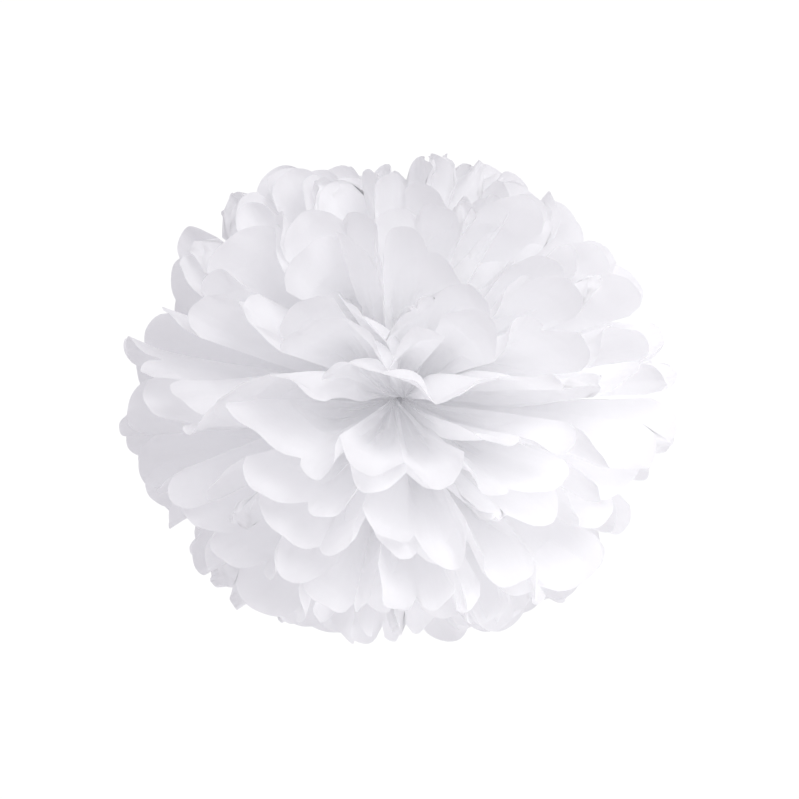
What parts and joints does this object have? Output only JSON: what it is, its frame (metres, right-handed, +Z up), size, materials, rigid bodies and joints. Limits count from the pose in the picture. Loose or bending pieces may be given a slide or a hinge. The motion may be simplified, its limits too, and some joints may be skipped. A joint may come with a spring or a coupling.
{
  "type": "tissue paper pom pom",
  "caption": "Ball of layered white tissue paper petals: pleated sheets with rounded ends, tied round the waist with wire and pulled open, hung as a party decoration.",
  "frame": {"origin": "centre of the tied waist, where the wire gathers every sheet", "axes": "+X along the pleated strip, towards one end of its folds; -Y towards the front seam between the ball's two halves; +Z up through the stack of sheets, along the wire's twist and eye"},
  "size_m": [0.2462, 0.2431, 0.223],
  "materials": {
    "tissue": "matte",
    "wire": "satin"
  },
  "bodies": {
    "root": {"tissue_sheet_1": "tissue", "tissue_sheet_2": "tissue", "tissue_sheet_3": "tissue", "tissue_sheet_4": "tissue", "tissue_sheet_5": "tissue", "tissue_sheet_6": "tissue", "tissue_sheet_7": "tissue", "tissue_sheet_8": "tissue", "tissue_sheet_9": "tissue", "tissue_sheet_10": "tissue", "tissue_sheet_11": "tissue", "tissue_sheet_12": "tissue", "tissue_sheet_13": "tissue", "tissue_sheet_14": "tissue", "tie_wire": "wire"}
  },
  "joints": []
}
